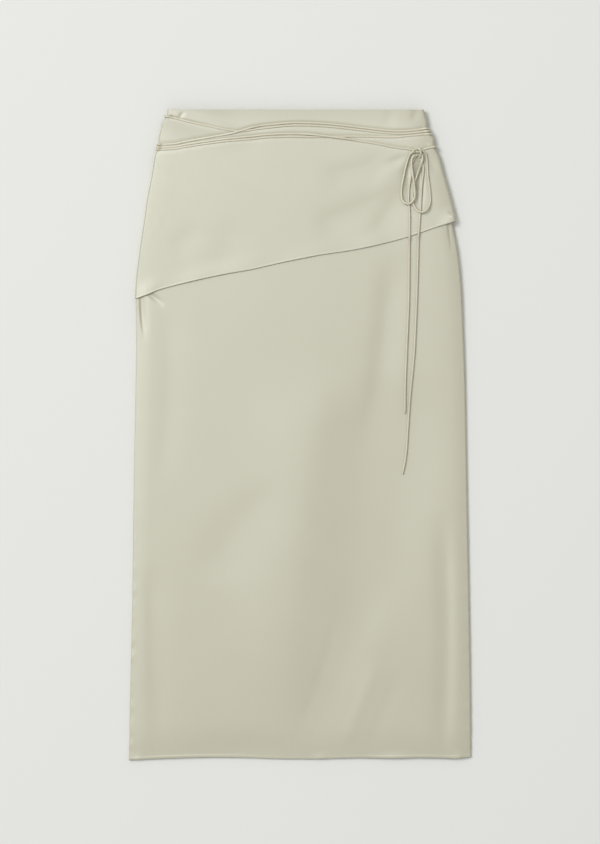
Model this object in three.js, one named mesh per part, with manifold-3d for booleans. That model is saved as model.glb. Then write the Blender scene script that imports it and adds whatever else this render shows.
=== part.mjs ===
// A wrap skirt in satin, laid flat: a long column skirt in two panels, a slanting hip overlay
// carried round both sides, and a thin tie cord wound round the waist and tied in a bow.
// Millimetres. X runs across the skirt, Y up to the waist, Z up from the surface it lies on.
import * as THREE from 'three';
import { mergeVertices } from 'three/addons/utils/BufferGeometryUtils.js';
import Module from 'manifold-3d';

const wasm = await Module();
wasm.setup();

// Driving dimensions
const WAIST_Y = 437.6; // the straight edge at the waist
const HEM_Y = -436.8; // the bottom edge, about halfway across
const CLOTH = 1.2; // the wall of one layer
const SEAM = 0.3; // the clearance between two pieces
const CORD = 2.8; // the tie cord, across
const SIDE_ROUND = 3.5; // how far the front's side fold reaches in
const BACK_ROUND = 3; // how far the back's side fold reaches in
const SEAM_SHARE = 0.5; // the side seam runs this far up the garment's edge
const LOFT = 2.4; // how far the front usually stands off the back
const LEAST_LOFT = 0.6; // and how near it comes in a trough
const OVERLAY_STEP = CLOTH + SEAM; // the overlay's layer under or over the skirt
const TIE_STEP = CORD + 0.4; // the cords under the waist lift the back by this much
const CORD_OFF = CORD / 2 + 0.55; // a cord's centre, off the cloth it lies on
const CORD_PITCH = CORD + 0.5; // from a cord to one that crosses over it
const CORD_STEP = 9; // the length of one straight piece of a cord
const CORNER_FLARE = 3.3; // the overlay's right corner stands out by this much

const table = (columns, rows) =>
  rows.map((row) => Object.fromEntries(columns.map((name, k) => [name, row[k]])));

// The skirt's two side folds, from the hem up to the waist
const SIDES = table(['y', 'left', 'right'], [
  [-440, -230.9, 230.6],
  [-331, -228.7, 229.8],
  [-223, -226.2, 228.1],
  [-61, -224.1, 225.2],
  [74, -221.5, 222.7],
  [155, -220.5, 219.6],
  [183, -221.1, 218.4],
  [209, -219.6, 216.7],
  [235, -216.5, 214.0],
  [262, -212.8, 209.9],
  [286, -209.1, 205.7],
  [317, -204.7, 202.2],
  [357, -197.0, 191.2],
  [385, -192.8, 183.4],
  [392, -191.3, 181.8],
  [402, -188.2, 178.6],
  [411, -186.0, 173.2],
  [425, -182.4, 169.0],
  [440, -176.0, 165.2],
]);

// The tie draws the sides in where it goes round them
const PINCHES = table(['y', 'wide', 'left', 'right'], [
  [429.6, 7, 2.2, 0],
  [409.8, 9, 0, 2.6],
  [388.6, 9, 2.6, 2.4],
]);

// The overlay's slanting hem, and the skirt's nearly straight one with its slight waves
const OVERLAY_HEM = table(['x', 'y'], [
  [-260, 177],
  [-224, 182.5],
  [-210, 187],
  [-188, 195.6],
  [-145, 206.7],
  [-104, 215.6],
  [-65, 222.5],
  [-26, 231.4],
  [26, 241.7],
  [66, 247.7],
  [105, 255.6],
  [145, 266.1],
  [185, 279.9],
  [211, 289.6],
  [260, 304],
]);
const SKIRT_HEM = table(['x', 'y'], [
  [-231, -439.1],
  [-206, -438.0],
  [-189, -437.2],
  [-135, -435.6],
  [-81, -435.7],
  [-27, -437.3],
  [27, -437.3],
  [60, -436.4],
  [81, -436.1],
  [108, -436.6],
  [135, -436.6],
  [162, -435.9],
  [189, -436.3],
  [208, -436.8],
  [231, -434.8],
]);

// The largest folds, each along an arc through three points, from the top down. A fold has its
// own half width on each side of the arc, since one wall is often steeper than the other.
const FOLDS = table(['fromX', 'fromY', 'midX', 'midY', 'toX', 'toY', 'west', 'east', 'high'], [
  [0, 101, -8, -115, -38, -453, 64, 42, 2],
  [124, 249, 113, 128, 89, -34, 15, 24, -1],
  [119, 87, 105, -75, 84, -291, 46, 60, -2],
  [94, -164, 61, -291, -11, -442, 34, 28, -1.4],
  [190, -95, 198, -264, 190, -493, 14, 10, -1.2],
  [0, -493, -68, -453, -148, -493, 40, 40, -1.8],
  [0, -61, -81, -126, -124, -210, 28, 44, -0.8],
  [148, 349, 115, 308, 84, 257, 14, 28, -0.8],
  [132, 333, 70, 299, 11, 279, 16, 24, -0.6],
  [-77, 290, -96, 254, -108, 211, 22, 28, -0.4],
]);

// The runs of the tie. `up` is the number of cords that the point lies over.
const ROUTE = ['x', 'y', 'up'];
const UPPER_LOW = table(ROUTE, [
  [-174.2, 428.9, 0], [-164.7, 426.5, 0], [-148.5, 422.4, 0], [-135.0, 419.4, 0], [-121.5, 416.7, 0],
  [-106.7, 413.5, 0], [-91.8, 410.8, 0], [-77.0, 410.1, 0], [-64.8, 411.8, 0], [-50.0, 414.0, 0],
  [-18.6, 417.4, 0], [0.0, 418.0, 0], [27.7, 417.0, 0], [48.3, 415.4, 0], [78.3, 411.9, 0],
  [97.2, 409.7, 0], [116.1, 407.6, 0], [129.6, 406.8, 0], [141.8, 406.9, 0], [155.2, 408.0, 0],
  [167.4, 409.5, 0],
]);
const UPPER_HIGH = table(ROUTE, [
  [-187.0, 391.9, 0], [-168.8, 393.1, 0], [-151.2, 396.6, 0], [-125.6, 401.1, 0], [-105.3, 404.6, 0],
  [-91.8, 407.2, 1], [-77.0, 411.3, 1], [-66.2, 414.7, 1], [-50.0, 417.8, 0], [-18.6, 420.8, 0],
  [0.0, 421.5, 0], [27.7, 420.5, 0], [48.3, 418.9, 0], [78.3, 415.4, 0], [97.2, 413.1, 0],
  [116.1, 410.9, 0], [129.6, 410.1, 0], [141.8, 410.3, 0], [155.2, 411.5, 0], [164.7, 413.0, 0],
]);
const LOWER_HIGH = table(ROUTE, [
  [-187.8, 388.4, 0], [-168.8, 389.6, 0], [-151.2, 392.9, 0], [-125.6, 396.7, 0], [-99.2, 400.1, 0],
  [-64.8, 403.2, 0], [-43.2, 405.4, 0], [-12.2, 406.6, 0], [4.1, 406.2, 0], [20.2, 405.0, 1],
  [41.9, 402.4, 1], [60.8, 400.0, 1], [77.0, 397.3, 0], [101.2, 393.5, 0], [129.2, 388.9, 0],
  [144.5, 386.9, 0], [153.4, 385.2, 0],
]);
const LOWER_LOW = table(ROUTE, [
  [-188.6, 384.9, 0], [-168.8, 386.1, 0], [-151.2, 389.2, 0], [-125.6, 393.0, 0], [-99.2, 396.4, 0],
  [-64.8, 399.6, 0], [-43.2, 401.8, 0], [-12.2, 402.6, 0], [20.2, 402.2, 0], [47.2, 402.7, 0],
  [70.2, 403.0, 0], [102.6, 402.7, 0], [118.8, 402.0, 0], [130.5, 402.2, 0], [149.9, 404.1, 0],
  [168.8, 405.9, 0],
]);
const RIGHT_RUN = table(ROUTE, [
  [165.6, 384.8, 0], [171.5, 386.9, 0], [179.0, 388.4, 0],
]);
const LOOP_LEFT = table(ROUTE, [
  [153.2, 381.6, 1], [148.8, 377.9, 0.6], [145.3, 370.0, 0], [142.0, 359.1, 0], [139.9, 348.3, 0],
  [137.7, 337.4, 0], [136.6, 327.4, 0], [137.2, 317.9, 0.4], [140.4, 312.3, 1], [145.5, 310.4, 1],
  [150.9, 313.3, 1], [154.2, 319.3, 1], [154.7, 327.4, 1], [153.6, 337.4, 1], [151.9, 348.3, 1],
  [150.5, 359.1, 1], [150.1, 366.5, 1], [151.2, 372.5, 1], [154.0, 376.3, 1],
]);
const LOOP_RIGHT = table(ROUTE, [
  [165.4, 381.6, 1], [168.5, 379.2, 0.6], [170.5, 372.7, 0], [171.2, 363.8, 0], [171.7, 353.7, 0],
  [172.8, 343.6, 0], [174.4, 332.0, 0], [175.5, 319.3, 0], [174.7, 310.4, 0.4], [171.5, 304.0, 1],
  [167.1, 300.1, 1], [162.3, 299.3, 1], [157.7, 302.1, 0.8], [153.8, 307.5, 0.2], [151.7, 314.1, 0],
  [152.4, 324.7, 0], [153.8, 335.5, 0], [155.5, 342.9, 0], [158.0, 350.1, 0], [160.9, 359.1, 0.7],
  [163.6, 366.5, 1], [165.1, 372.2, 1], [164.6, 376.3, 1],
]);
const TAIL_LEFT = table(ROUTE, [
  [157.3, 376.6, 0], [154.7, 367.2, 0], [151.5, 358.4, 0], [149.0, 347.6, 0], [147.2, 334.1, 0],
  [146.3, 317.9, 0], [147.0, 305.8, 0], [147.7, 296.3, 0], [147.4, 270.7, 0], [147.0, 222.1, 0],
  [146.6, 181.6, 0], [145.0, 141.1, 0], [143.4, 104.6, 0], [142.0, 66.8, 0], [141.5, 28.4, 0],
]);
const TAIL_RIGHT = table(ROUTE, [
  [161.3, 376.6, 0], [164.2, 367.2, 0], [166.1, 359.1, 0], [165.5, 349.0, 0], [164.0, 336.8, 0],
  [163.2, 323.3, 0], [162.3, 304.4, 0], [161.2, 290.9, 0], [160.2, 277.4, 0], [159.4, 262.6, 0],
  [158.4, 222.1, 0], [157.1, 178.9, 0], [154.3, 115.4, 0], [151.2, 80.3, 0], [148.0, 46.6, 0],
  [145.3, 6.1, 0], [143.5, -20.9, 0], [141.2, -38.5, 0], [138.1, -53.3, 0],
]);
const KNOT = { x: 159.3, y: 381.8, across: 10, long: 9.4, tall: 6.6 };

// The materials, by what they are made of
const satin = (color) =>
  new THREE.MeshStandardMaterial({ color, roughness: 0.42, metalness: 0, side: THREE.FrontSide });

// Curves through short tables
const clamp01 = (t) => Math.min(1, Math.max(0, t));
const ease = (t) => clamp01(t) ** 2 * (3 - 2 * clamp01(t));
const mix = (a, b, t) => a + (b - a) * t;
const bump = (t) => Math.exp(-t * t);
const plateau = (t) => Math.exp(-(t ** 4));

function curveOf(rows, by, out) {
  const slopes = rows.map((_, i) => {
    const before = rows[Math.max(i - 1, 0)];
    const after = rows[Math.min(i + 1, rows.length - 1)];
    return (after[out] - before[out]) / (after[by] - before[by]);
  });
  return (at) => {
    const next = rows.findIndex((row) => row[by] > at);
    if (next === 0) return rows[0][out];
    if (next < 0) return rows[rows.length - 1][out];
    const a = rows[next - 1];
    const b = rows[next];
    const span = b[by] - a[by];
    const t = (at - a[by]) / span;
    return (
      (2 * t ** 3 - 3 * t ** 2 + 1) * a[out] +
      (t ** 3 - 2 * t ** 2 + t) * span * slopes[next - 1] +
      (3 * t ** 2 - 2 * t ** 3) * b[out] +
      (t ** 3 - t ** 2) * span * slopes[next]
    );
  };
}

const leftCurve = curveOf(SIDES, 'y', 'left');
const rightCurve = curveOf(SIDES, 'y', 'right');
const pinch = (side, y) =>
  PINCHES.reduce((sum, row) => sum + row[side] * plateau((y - row.y) / row.wide), 0);
const leftSide = (y) => leftCurve(y) + pinch('left', y);
const rightSide = (y) => rightCurve(y) - pinch('right', y);
const overlayHem = curveOf(OVERLAY_HEM, 'x', 'y');
const skirtHem = curveOf(SKIRT_HEM, 'x', 'y');

// How high the cloth lies. The back steps up over the overlay's back, and again over the cords.
// The front rises over the same layers in one long slope, so no step shows in it.
const HEM_LEAD = 32; // the step up begins this far below the overlay's hem
const STEP_LENGTH = 26;
const TIE_ZONE = { from: 335, length: 36 };

function backRise(x, y) {
  const overOverlay = ease((y - overlayHem(x) + HEM_LEAD + STEP_LENGTH) / STEP_LENGTH);
  const overTies = ease((y - TIE_ZONE.from) / TIE_ZONE.length);
  return OVERLAY_STEP * overOverlay + TIE_STEP * overTies;
}

const FRONT_SLOPE = { from: -50, length: 480 };

function frontRise(y) {
  return (OVERLAY_STEP + TIE_STEP) * ease((y - FRONT_SLOPE.from) / FRONT_SLOPE.length);
}

const FOLD_STEPS = 10;
const foldArcs = FOLDS.map((fold) => {
  const from = new THREE.Vector2(fold.fromX, fold.fromY);
  const mid = new THREE.Vector2(fold.midX, fold.midY);
  const to = new THREE.Vector2(fold.toX, fold.toY);
  const bend = mid.multiplyScalar(2).sub(from.clone().add(to).multiplyScalar(0.5));
  return { ...fold, points: new THREE.QuadraticBezierCurve(from, bend, to).getPoints(FOLD_STEPS) };
});

// A fold's height at a place: full on its arc, fading out to both sides and towards both ends
const FOLD_END = 0.3;

function foldAt(fold, x, y) {
  const { points } = fold;
  let least = Infinity;
  let along = 0;
  let side = 0;
  for (let k = 1; k < points.length; k += 1) {
    const a = points[k - 1];
    const run = points[k].clone().sub(a);
    const t = clamp01(((x - a.x) * run.x + (y - a.y) * run.y) / run.lengthSq());
    const far = Math.hypot(x - a.x - run.x * t, y - a.y - run.y * t);
    if (far < least) {
      least = far;
      along = (k - 1 + t) / FOLD_STEPS;
      side = run.x * (y - a.y) - run.y * (x - a.x);
    }
  }
  const fade = ease(along / FOLD_END) * ease((1 - along) / FOLD_END);
  return fold.high * fade * bump(least / (side > 0 ? fold.east : fold.west));
}

// At its right side the front rolls over: it climbs from the edge to a soft crest, then sinks
// slowly. Its left side and its hem are pressed flatter, and climb from a thin edge.
const RIGHT_ROLL = { crest: 20, beyond: 40, high: 1.4 };
const HIP_ROLL = { y: 250, wide: 60, high: 0.5 }; // the right side stands higher below the overlay
const LEFT_EDGE = { reach: 22, low: 1.3, lowAtHip: 0.4, hip: 120, blend: 100 };
const HEM_EDGE = { reach: 45, low: 1.6 };

function rollOver(inside, roll) {
  if (inside > roll.crest) return bump((inside - roll.crest) / roll.beyond);
  return 1 - (1 - inside / roll.crest) ** 2;
}

function loftAt(x, y) {
  const fromLeft = clamp01((x - leftSide(y)) / LEFT_EDGE.reach);
  const fromHem = clamp01((y - skirtHem(x)) / HEM_EDGE.reach);
  const leftLow = mix(LEFT_EDGE.low, LEFT_EDGE.lowAtHip, ease((y - LEFT_EDGE.hip) / LEFT_EDGE.blend));
  const fromRight = Math.max(0, rightSide(y) - x);
  const rightHigh = RIGHT_ROLL.high + HIP_ROLL.high * bump((y - HIP_ROLL.y) / HIP_ROLL.wide);
  const folds = foldArcs.reduce((sum, fold) => sum + foldAt(fold, x, y), 0);
  const sunk = leftLow * (1 - fromLeft) ** 2 + HEM_EDGE.low * (1 - fromHem) ** 2;
  return LOFT + rightHigh * rollOver(fromRight, RIGHT_ROLL) - sunk + folds;
}

// A trough flattens out softly where the front comes down on the layers below
const FLATTENING = 0.6;

function frontHeight(x, y) {
  const least = backRise(x, y) + LEAST_LOFT;
  const spare = frontRise(y) + loftAt(x, y) - least;
  return 2 * CLOTH + SEAM + least + FLATTENING * Math.log1p(Math.exp(spare / FLATTENING));
}

const seamHeight = (x, y) => mix(backRise(x, y), frontHeight(x, y), SEAM_SHARE);

// One point of the skirt's outer side, and the way it faces, across a section at one height.
// A column is either a place on a side fold, by its angle up from the seam, or a share of the
// way between the two folds.
const QUARTER = Math.PI / 2;

function foldPoint(face, side, angle, y) {
  const edge = side === 'left' ? leftSide(y) : rightSide(y);
  const inward = side === 'left' ? 1 : -1;
  const reach = face === 'front' ? SIDE_ROUND : BACK_ROUND;
  const up = face === 'front' ? 1 : -1;
  const seam = seamHeight(edge + inward * SIDE_ROUND, y) + (up * SEAM) / 2;
  const inner = edge + inward * reach;
  const height = face === 'front' ? frontHeight(inner, y) - seam : seam - backRise(inner, y);
  const normal = new THREE.Vector3(
    (-inward * Math.cos(angle)) / reach,
    0,
    (up * Math.sin(angle)) / height,
  ).normalize();
  const x = edge + inward * reach * (1 - Math.cos(angle));
  return { point: new THREE.Vector3(x, y, seam + up * height * Math.sin(angle)), normal };
}

function flatPoint(face, share, y) {
  const reach = face === 'front' ? SIDE_ROUND : BACK_ROUND;
  const x = mix(leftSide(y) + reach, rightSide(y) - reach, share);
  const heightOf = face === 'front' ? frontHeight : backRise;
  const slopeSpan = 4;
  const slope = (heightOf(x + slopeSpan, y) - heightOf(x - slopeSpan, y)) / (2 * slopeSpan);
  const up = face === 'front' ? 1 : -1;
  const normal = new THREE.Vector3(-slope * up, 0, up).normalize();
  return { point: new THREE.Vector3(x, y, heightOf(x, y)), normal };
}

function columnsOf(angleCount, shareCount) {
  const angles = Array.from({ length: angleCount }, (_, k) => (QUARTER * k) / angleCount);
  const shares = Array.from({ length: shareCount + 1 }, (_, k) => k / shareCount);
  return [
    ...angles.map((angle) => ({ side: 'left', angle })),
    ...shares.map((share) => ({ share })),
    ...angles.reverse().map((angle) => ({ side: 'right', angle })),
  ];
}

// The overlay's right corner stands out a little from the skirt
const FLARE_ZONE = { from: 322, to: 288, across: 24 };

function flareOut(point) {
  const down = ease((FLARE_ZONE.from - point.y) / (FLARE_ZONE.from - FLARE_ZONE.to));
  const across = ease(1 - (rightSide(point.y) - point.x) / FLARE_ZONE.across);
  return CORNER_FLARE * down * across;
}

function sheetPoints(face, columns, levels, off, flared) {
  return levels.map((level) =>
    columns.map((column) => {
      const y = mix(WAIST_Y, HEM_Y, level);
      const { point, normal } =
        column.side ? foldPoint(face, column.side, column.angle, y) : flatPoint(face, column.share, y);
      const moved = point.clone().addScaledVector(normal, off);
      if (flared) moved.x += flareOut(point);
      moved.y = mix(WAIST_Y, skirtHem(point.x), level);
      return moved;
    }),
  );
}

// A closed wall between two grids of points, the outer one and the inner one
function wall(outer, inner) {
  const rows = outer.length;
  const cols = outer[0].length;
  const at = (i, j) => i * cols + j;
  const shift = rows * cols;
  const triangles = [];
  for (let i = 0; i + 1 < rows; i += 1) {
    for (let j = 0; j + 1 < cols; j += 1) {
      const [a, b, c, d] = [at(i, j), at(i + 1, j), at(i + 1, j + 1), at(i, j + 1)];
      triangles.push([a, b, c], [a, c, d]);
      triangles.push([shift + a, shift + c, shift + b], [shift + a, shift + d, shift + c]);
    }
  }
  const rim = [
    ...Array.from({ length: rows - 1 }, (_, i) => at(i, 0)),
    ...Array.from({ length: cols - 1 }, (_, j) => at(rows - 1, j)),
    ...Array.from({ length: rows - 1 }, (_, i) => at(rows - 1 - i, cols - 1)),
    ...Array.from({ length: cols - 1 }, (_, j) => at(0, cols - 1 - j)),
  ];
  rim.forEach((p, k) => {
    const q = rim[(k + 1) % rim.length];
    triangles.push([q, p, shift + p], [q, shift + p, shift + q]);
  });
  const geometry = new THREE.BufferGeometry();
  const places = [...outer.flat(), ...inner.flat()].flatMap((p) => [p.x, p.y, p.z]);
  geometry.setAttribute('position', new THREE.Float32BufferAttribute(places, 3));
  geometry.setIndex(triangles.flat());
  return facingOut(geometry);
}

function facingOut(geometry) {
  const position = geometry.getAttribute('position');
  const index = geometry.getIndex();
  const corner = (k) => new THREE.Vector3().fromBufferAttribute(position, index.getX(k));
  let volume = 0;
  for (let k = 0; k < index.count; k += 3) volume += corner(k).dot(corner(k + 1).cross(corner(k + 2)));
  if (volume < 0) {
    for (let k = 0; k < index.count; k += 3) {
      const kept = index.getX(k);
      index.setX(k, index.getX(k + 1));
      index.setX(k + 1, kept);
    }
  }
  return geometry;
}

// Joining and cutting of closed meshes
function toSolid(geometry) {
  const bare = geometry.clone();
  bare.deleteAttribute('normal');
  bare.deleteAttribute('uv');
  const merged = mergeVertices(bare);
  const mesh = new wasm.Mesh({
    numProp: 3,
    vertProperties: new Float32Array(merged.getAttribute('position').array),
    triVerts: new Uint32Array(merged.getIndex().array),
  });
  return new wasm.Manifold(mesh);
}

function toGeometry(solid) {
  const { vertProperties, triVerts } = solid.getMesh();
  const geometry = new THREE.BufferGeometry();
  geometry.setAttribute('position', new THREE.Float32BufferAttribute(vertProperties, 3));
  geometry.setIndex(new THREE.Uint32BufferAttribute(triVerts, 1));
  return geometry;
}

// The skirt's panels
const FRONT_COLUMNS = columnsOf(4, 21);
const BACK_COLUMNS = columnsOf(3, 8);
const steps = (count) => Array.from({ length: count + 1 }, (_, k) => k / count);

// The heights of the panels' points: close together at the tie, then evenly down to the hem
const TIE_HEIGHTS = [WAIST_Y, 429.6, 421, 415.5, 409.8, 404.2, 399, 394, 388.6, 383, 375, 362, 345];
const EVEN_STEPS = 28;
const OVERLAY_END = 150; // the overlay goes down to here before it is cut along its hem
const HEIGHTS = [
  ...TIE_HEIGHTS,
  ...steps(EVEN_STEPS).slice(1).map((t) => mix(TIE_HEIGHTS[TIE_HEIGHTS.length - 1], HEM_Y, t)),
];
const LEVELS = HEIGHTS.map((y) => (WAIST_Y - y) / (WAIST_Y - HEM_Y));
const OVERLAY_LEVELS = LEVELS.filter((_, k) => HEIGHTS[k] > OVERLAY_END);

function panel(face, columns) {
  const outer = sheetPoints(face, columns, LEVELS, 0, false);
  const inner = sheetPoints(face, columns, LEVELS, -CLOTH, false);
  return wall(outer, inner);
}

function overlayPanel(face, columns) {
  const outer = sheetPoints(face, columns, OVERLAY_LEVELS, OVERLAY_STEP, true);
  const inner = sheetPoints(face, columns, OVERLAY_LEVELS, SEAM, true);
  return toGeometry(toSolid(wall(outer, inner)).subtract(belowOverlayHem()));
}

const CUT = { side: 258, down: 100, low: -30, tall: 90, steps: 44 };

function belowOverlayHem() {
  const shape = new THREE.Shape();
  shape.moveTo(-CUT.side, CUT.down);
  shape.lineTo(CUT.side, CUT.down);
  for (let k = 0; k <= CUT.steps; k += 1) {
    const x = mix(CUT.side, -CUT.side, k / CUT.steps);
    shape.lineTo(x, overlayHem(x));
  }
  shape.closePath();
  const prism = new THREE.ExtrudeGeometry(shape, { depth: CUT.tall, bevelEnabled: false });
  prism.translate(0, 0, CUT.low);
  return toSolid(prism);
}

// Cords
const HEM_MARGIN = 5; // a cord starts to rise this far before the overlay's hem
const FEEL = 5; // and stays clear of the cloth this far round itself

function clothTop(x, y) {
  const overlay = OVERLAY_STEP * ease((y - overlayHem(x) + 2 * HEM_MARGIN) / HEM_MARGIN);
  return frontHeight(x, y) + overlay;
}

function restingHeight(x, y) {
  const around = [[0, 0], [FEEL, 0], [-FEEL, 0], [0, FEEL], [0, -FEEL]];
  const left = leftSide(y) + SIDE_ROUND;
  const right = rightSide(y) - SIDE_ROUND;
  const heights = around.map(([dx, dy]) => clothTop(Math.min(right, Math.max(left, x + dx)), y + dy));
  return Math.max(...heights) + CORD_OFF;
}

function laidPath(route) {
  const plan = new THREE.CatmullRomCurve3(route.map((row) => new THREE.Vector3(row.x, row.y, row.up)));
  const count = Math.max(3, Math.ceil(plan.getLength() / CORD_STEP));
  return plan.getSpacedPoints(count).map(
    (at) => new THREE.Vector3(at.x, at.y, restingHeight(at.x, at.y) + at.z * CORD_PITCH),
  );
}

const WRAP_ANGLES = [75, 50, 27, 10, 1].map((degrees) => (degrees * Math.PI) / 180);

function roundSide(face, side, y) {
  return WRAP_ANGLES.map((angle) => {
    const { point, normal } = foldPoint(face, side, angle, y);
    return point.addScaledVector(normal, OVERLAY_STEP + CORD_OFF);
  });
}

// A curve that is stepped from one of its points to the next, close together or far apart
class SteppedCurve extends THREE.CatmullRomCurve3 {
  getPointAt(share, target) {
    return this.getPoint(share, target);
  }

  getTangentAt(share, target) {
    return this.getTangent(share, target);
  }
}

function cordAlong(points) {
  const path = new SteppedCurve(points);
  const section = new THREE.Shape();
  const sides = 8;
  for (let k = 0; k < sides; k += 1) {
    const turn = (2 * Math.PI * (k + 0.5)) / sides;
    const place = [(CORD / 2) * Math.cos(turn), (CORD / 2) * Math.sin(turn)];
    if (k === 0) section.moveTo(...place);
    else section.lineTo(...place);
  }
  section.closePath();
  const count = points.length - 1;
  return new THREE.ExtrudeGeometry(section, { steps: count, extrudePath: path, bevelEnabled: false });
}

const frontRun = (route, { left, right }) => [
  ...(left === undefined ? [] : roundSide('front', 'left', left).reverse()),
  ...laidPath(route),
  ...(right === undefined ? [] : roundSide('front', 'right', right)),
];

const BACK_FLAT = 12; // a cord on the back lies flat this far in from the sides
const BACK_CORD_HEIGHT = CORD / 2 + 0.03; // and just clears the surface

function backRun(leftY, rightY) {
  const left = roundSide('back', 'left', leftY).reverse();
  const right = roundSide('back', 'right', rightY);
  const start = leftSide(leftY) + BACK_FLAT;
  const end = rightSide(rightY) - BACK_FLAT;
  const across = steps(8).map(
    (t) => new THREE.Vector3(mix(start, end, t), mix(leftY, rightY, t), BACK_CORD_HEIGHT),
  );
  return [...left, ...across, ...right];
}

function knotShape() {
  const shape = new THREE.SphereGeometry(1, 12, 8);
  shape.rotateX(QUARTER);
  shape.scale(KNOT.across / 2, KNOT.long / 2, KNOT.tall / 2);
  const bed = restingHeight(KNOT.x, KNOT.y) - CORD / 2;
  shape.translate(KNOT.x, KNOT.y, bed + KNOT.tall / 2);
  return shape;
}

// The sides' heights at which the cords go round, from the top one down
const LEFT_ENDS = [429.6, 391.9, 388.4, 384.9];
const RIGHT_ENDS = [413.4, 409.8, 406.2, 388.8];

const skirtSatin = satin(0xcfcdb6);
const cordSatin = satin(0xd8d4bf);
const group = new THREE.Group();

function add(name, geometry, material) {
  const mesh = new THREE.Mesh(geometry, material);
  mesh.name = name;
  group.add(mesh);
}

add('skirt_back', panel('back', BACK_COLUMNS), skirtSatin);
add('skirt_front', panel('front', FRONT_COLUMNS), skirtSatin);
add('overlay_back', overlayPanel('back', BACK_COLUMNS), skirtSatin);
add('overlay_front', overlayPanel('front', FRONT_COLUMNS), skirtSatin);

const FRONT_RUNS = [
  { route: UPPER_LOW, ends: { left: LEFT_ENDS[0], right: RIGHT_ENDS[1] } },
  { route: UPPER_HIGH, ends: { left: LEFT_ENDS[1], right: RIGHT_ENDS[0] } },
  { route: LOWER_HIGH, ends: { left: LEFT_ENDS[2] } },
  { route: LOWER_LOW, ends: { left: LEFT_ENDS[3], right: RIGHT_ENDS[2] } },
  { route: RIGHT_RUN, ends: { right: RIGHT_ENDS[3] } },
];
FRONT_RUNS.forEach(({ route, ends }, k) => {
  add(`tie_front_${k + 1}`, cordAlong(frontRun(route, ends)), cordSatin);
});
LEFT_ENDS.forEach((leftY, k) => {
  add(`tie_back_${k + 1}`, cordAlong(backRun(leftY, RIGHT_ENDS[k])), cordSatin);
});
add('tie_knot', knotShape(), cordSatin);
add('bow_loop_left', cordAlong(laidPath(LOOP_LEFT)), cordSatin);
add('bow_loop_right', cordAlong(laidPath(LOOP_RIGHT)), cordSatin);
add('tie_tail_left', cordAlong(laidPath(TAIL_LEFT)), cordSatin);
add('tie_tail_right', cordAlong(laidPath(TAIL_RIGHT)), cordSatin);

export default group;
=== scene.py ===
# %% [markdown]
# # A wrap skirt in satin, laid flat
#
# This notebook dresses the plain solids of a long column skirt: two skirt panels, a hip overlay
# with a slanting hem, and a thin tie wound round the waist and knotted in a bow. The garment lies
# on a pale surface and is seen from straight above. Everything is in metres: X runs across the
# skirt, Y from the hem up to the waist, and Z up from the surface.

# %% Load the frame
import bmesh
import bpy
import numpy as np
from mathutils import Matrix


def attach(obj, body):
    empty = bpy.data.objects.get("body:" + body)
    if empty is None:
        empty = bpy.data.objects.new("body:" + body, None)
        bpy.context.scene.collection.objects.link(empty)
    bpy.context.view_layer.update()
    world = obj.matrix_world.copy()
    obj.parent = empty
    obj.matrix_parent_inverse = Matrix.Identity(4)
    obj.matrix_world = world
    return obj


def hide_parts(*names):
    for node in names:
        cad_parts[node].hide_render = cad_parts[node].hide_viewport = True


def add_object(name, data):
    """Put a new object with this data in the scene."""
    made = bpy.data.objects.new(name, data)
    bpy.context.scene.collection.objects.link(made)
    return made


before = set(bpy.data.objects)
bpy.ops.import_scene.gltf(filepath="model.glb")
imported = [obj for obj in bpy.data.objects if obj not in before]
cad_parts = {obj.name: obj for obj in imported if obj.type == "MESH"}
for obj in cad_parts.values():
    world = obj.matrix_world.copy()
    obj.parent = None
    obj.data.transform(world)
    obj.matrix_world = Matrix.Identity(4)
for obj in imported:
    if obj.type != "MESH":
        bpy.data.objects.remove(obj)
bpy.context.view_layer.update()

# %% [markdown]
# ## The camera
#
# The garment was photographed from straight above, so the camera hangs over it and looks down.
# It could be an orthographic camera, but a long lens from a real height keeps the small amount of
# perspective that a real picture has. The lens follows from the height: the picture's long side
# has to span a little more than the skirt's length.

# %% Hang the camera over the skirt
CAMERA_HEIGHT = 5.2
VIEW_LENGTH = 1.1394
SENSOR = 36.0
VIEW_CENTRE_Y = 0.0169

camera_data = bpy.data.cameras.new("camera_above")
camera_data.sensor_width = SENSOR
camera_data.lens = SENSOR * CAMERA_HEIGHT / VIEW_LENGTH
camera = add_object("camera_above", camera_data)
camera.location = (0.0, VIEW_CENTRE_Y, CAMERA_HEIGHT)
bpy.context.scene.camera = camera
print("lens", round(camera_data.lens, 1), "mm")

# %% [markdown]
# ## The sizes of the cut
#
# A laid-out skirt is mostly its outline. The tables below give the two side folds and the two
# hems at a few heights, read off the photograph, and a smooth curve passes through each.
# The hips curve out below the waist, and from there the sides run almost straight to the hem.

# %% Name the sizes
WAIST_Y = 0.4376
CLOTH = 0.0012
SEAM = 0.0003
CORD = 0.0028
# How far a side fold reaches in. The left one is pressed flatter
ROUNDS = {"left": 0.0009, "right": 0.0022}
SEAM_SHARE = 0.5
LOFT = 0.0024
LEAST_LOFT = 0.0006
OVERLAY_STEP = CLOTH + SEAM
# Two cords need a little more room than their thickness
CORD_PITCH = CORD + 0.0004
TIE_STEP = CORD_PITCH
# The overlay's right corner stands out sideways
CORNER_FLARE = 0.0033
FLARE_TOP = 0.322
FLARE_LENGTH = 0.034
FLARE_WIDE = 0.024

print("each layer of cloth takes", round(OVERLAY_STEP * 1000, 1), "mm")

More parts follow.
